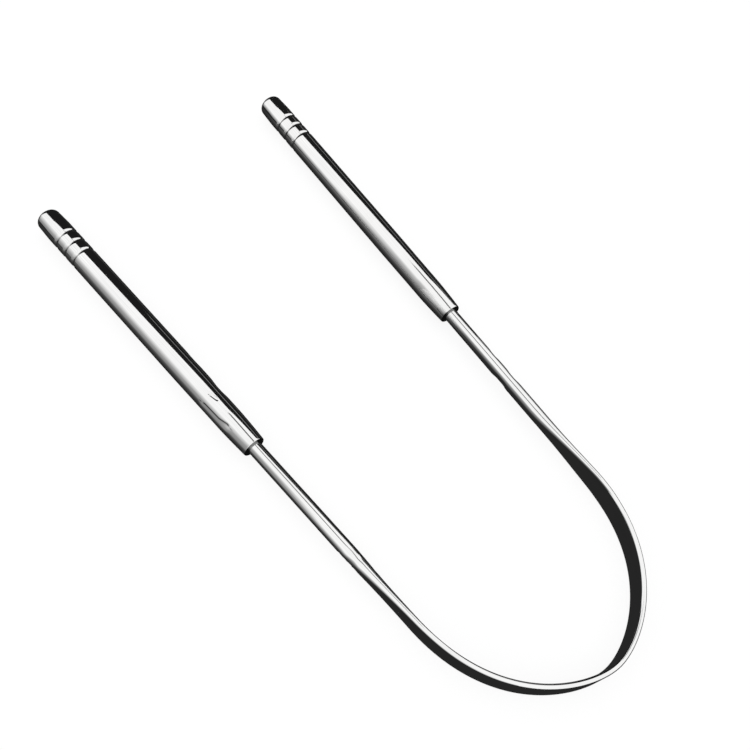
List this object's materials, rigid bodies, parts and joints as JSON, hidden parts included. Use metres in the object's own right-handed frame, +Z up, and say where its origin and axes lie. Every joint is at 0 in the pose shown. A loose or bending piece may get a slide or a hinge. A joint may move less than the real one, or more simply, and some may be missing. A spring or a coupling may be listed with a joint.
{
  "type": "tongue scraper",
  "caption": "U-shaped springy wire scraper with a flattened scraping bow and two swaged tube handles that can be squeezed together.",
  "frame": {"origin": "on the table under the middle of the U's outline, with the U lying flat on the bow's lower edge and the handles", "axes": "+X across the U to the right leg, +Y from the bow to the handle tips, +Z up, square to the plane of the U"},
  "size_m": [0.0646, 0.145, 0.0068],
  "materials": {
    "tube_steel": "polished stainless steel, fine drawing lines along the tube",
    "plug_steel": "polished stainless steel, turned",
    "wire_steel": "bright drawn stainless wire",
    "band_steel": "rolled and polished stainless strip"
  },
  "bodies": {
    "left_arm": {"left_wire_leg": "wire_steel", "left_handle_tube": "tube_steel", "left_end_plug": "plug_steel", "scraping_band": "band_steel"},
    "right_arm": {"right_wire_leg": "wire_steel", "right_handle_tube": "tube_steel", "right_end_plug": "plug_steel"}
  },
  "joints": [
    {"name": "squeeze", "type": "hinge", "parent": "left_arm", "child": "right_arm", "pos_m": [0, -0.0589, 0.0034], "axis": [0, 0, 1], "range_deg": [-8, 15], "stiffness_Nm_per_rad": 1.6, "deforming": ["scraping_band"]}
  ]
}
